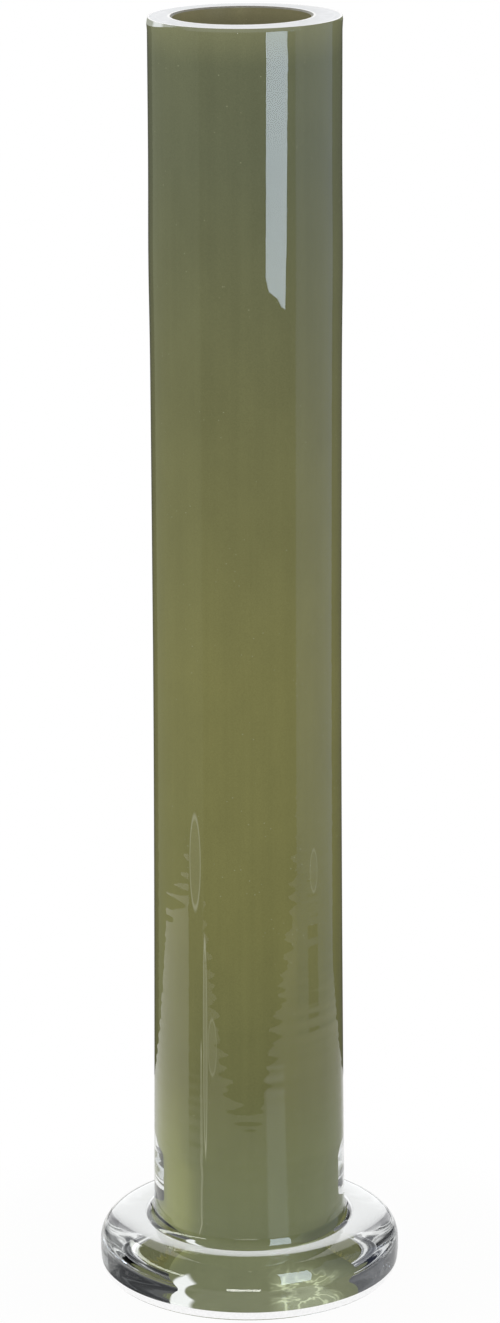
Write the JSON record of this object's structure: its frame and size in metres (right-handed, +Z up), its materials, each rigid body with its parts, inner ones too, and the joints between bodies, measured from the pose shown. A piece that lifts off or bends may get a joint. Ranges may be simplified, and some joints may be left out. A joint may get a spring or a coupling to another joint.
{
  "type": "stackable glass vase",
  "caption": "Tall tube vase in cased glass: a thin opaque olive inner cup in a thick clear wall, flat bevelled rim, wide rounded clear foot, ground flat underneath.",
  "frame": {"origin": "centre of the foot's underside, on the surface that the vase stands on", "axes": "+Z up along the tube; the picture is taken along +Y, with +X to the right"},
  "size_m": [0.119, 0.119, 0.5],
  "materials": {
    "olive_glass": "opaque olive-green glass with faint drawn streaks and seeds, glossy",
    "casing_glass": "clear glass, polished by fire, with faint tool ripples, and a flat ground and polished rim",
    "foot_glass": "clear glass, polished by fire, ground flat underneath"
  },
  "bodies": {
    "root": {"colour_liner": "olive_glass", "clear_casing": "casing_glass", "clear_foot": "foot_glass"}
  },
  "joints": []
}
